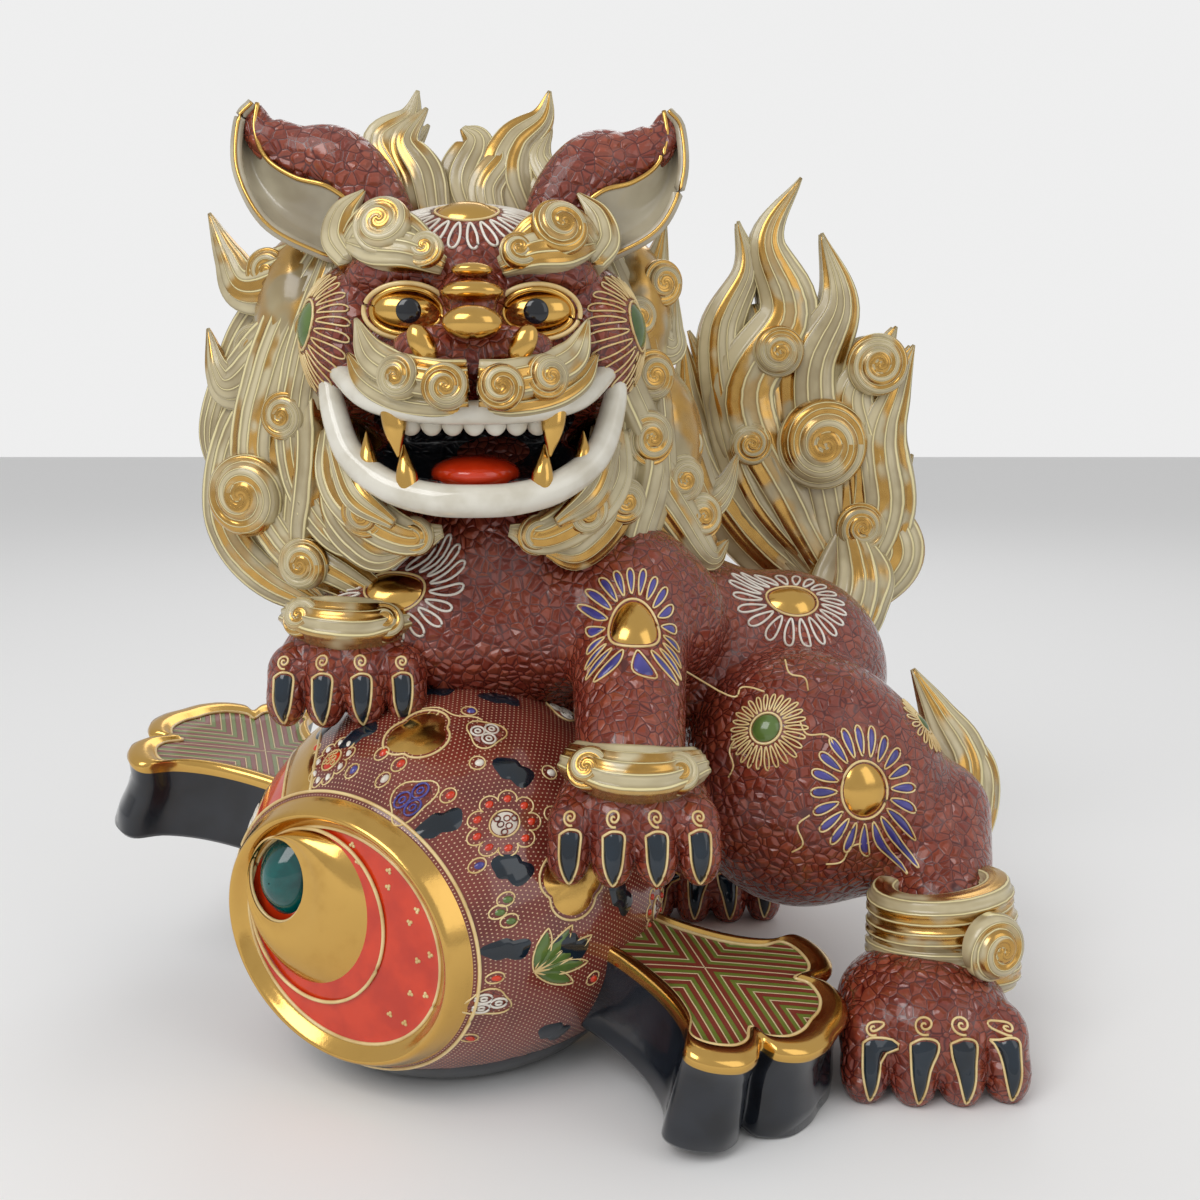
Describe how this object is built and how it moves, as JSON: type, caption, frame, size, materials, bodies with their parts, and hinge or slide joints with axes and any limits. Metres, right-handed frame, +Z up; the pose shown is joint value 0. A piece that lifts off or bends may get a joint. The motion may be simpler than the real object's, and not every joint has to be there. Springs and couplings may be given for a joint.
{
  "type": "foo dog statue",
  "caption": "Porcelain guardian lion in iron red, cream and gold enamels, leaning with both forepaws on a large lobed mallet.",
  "frame": {"origin": "on the floor, at the middle of the statue's bounding box", "axes": "+Z up, the lion faces -Y, +X to the right as it is looked at from the front"},
  "size_m": [0.426, 0.3468, 0.4301],
  "materials": {
    "skin": "glossy iron-red enamel over a pebbled relief on white porcelain, dark red lines between the pebbles",
    "hair": "glossy cream glaze with pale yellow raised lines and gold painted grooves",
    "gold": "fired bright gold lustre over glaze on porcelain",
    "black": "glossy blue-black glaze on porcelain",
    "drum": "red-brown glaze with rows of small raised cream dots and enamel motifs",
    "teal": "translucent teal enamel over porcelain",
    "red": "glossy orange-red enamel",
    "white": "glossy white glaze"
  },
  "bodies": {
    "root": {"ankle_cuff_left": "hair", "ankle_cuff_right": "hair", "back_gem": "teal", "beard_left": "hair", "beard_right": "hair", "brow_left": "hair", "brow_right": "hair", "chest_lock_left": "hair", "chest_lock_right": "hair", "crest_flame_back": "hair", "crest_flame_left": "hair", "crest_flame_right": "hair", "ear_left": "skin", "ear_right": "skin", "eye_left": "gold", "eye_right": "gold", "foreleg_left": "skin", "foreleg_right": "skin", "forepaw_left": "skin", "forepaw_right": "skin", "front_gem": "teal", "head": "skin", "hind_paw_left": "skin", "hind_paw_right": "skin", "hind_shin_left": "skin", "hind_shin_right": "skin", "hind_thigh_left": "skin", "hind_thigh_right": "skin", "hock_tuft_left": "hair", "hock_tuft_right": "hair", "lower_fang_left": "gold", "lower_fang_outer": "gold", "lower_fang_right": "gold", "lower_jaw": "white", "mallet_back_disc": "gold", "mallet_drum": "drum", "mallet_foot": "black", "mallet_front_disc": "gold", "mallet_wing_left": "black", "mallet_wing_right": "black", "mane_back": "hair", "mane_lower_left": "hair", "mane_lower_right": "hair", "mane_middle_left": "hair", "mane_middle_right": "hair", "mane_nape": "hair", "mane_upper_left": "hair", "mane_upper_right": "hair", "moustache": "hair", "nose": "gold", "nose_bridge": "gold", "tail_flame": "hair", "tail_root": "hair", "tongue": "red", "torso": "skin", "upper_fang_left": "gold", "upper_fang_right": "gold", "upper_teeth": "white", "wrist_tuft_left": "hair", "wrist_tuft_right": "hair"}
  },
  "joints": []
}
